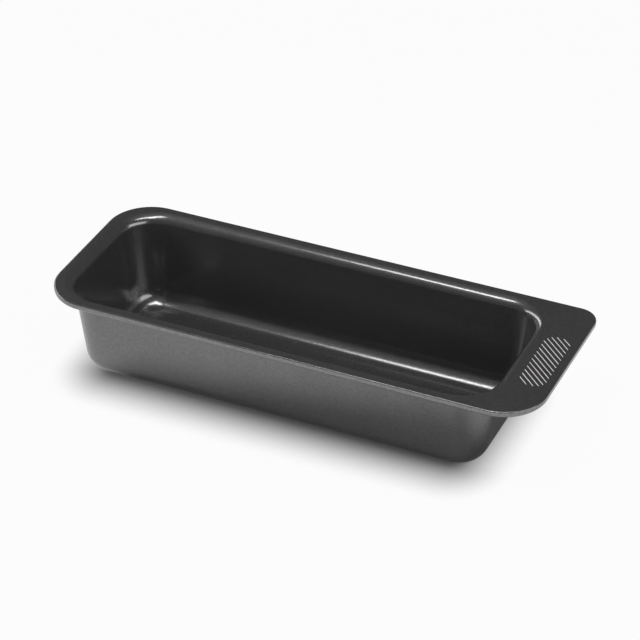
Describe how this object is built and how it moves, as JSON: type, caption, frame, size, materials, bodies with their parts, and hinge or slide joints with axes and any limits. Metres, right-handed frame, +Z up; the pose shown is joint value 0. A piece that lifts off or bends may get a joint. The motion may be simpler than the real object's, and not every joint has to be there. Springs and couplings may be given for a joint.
{
  "type": "loaf pan",
  "caption": "Dark non-stick steel loaf pan: a long slanting tub with round corners, a flat rim with a turned-down edge, and a wide grip end with pale slanting lines.",
  "frame": {"origin": "middle of the tub's flat underside, on the surface that the pan stands on", "axes": "+X along the pan's length towards the grip end, +Y across it, +Z up"},
  "size_m": [0.3499, 0.134, 0.0685],
  "materials": {
    "coated_steel": "satin dark grey lacquer",
    "nonstick": "satin dark grey non-stick layer with fine metallic flecks",
    "pale_line": "pale satin",
    "wire": "drawn wire"
  },
  "bodies": {
    "root": {"steel_shell": "coated_steel", "inside_coating": "nonstick", "grip_lines": "pale_line", "rim_wire": "wire"}
  },
  "joints": []
}
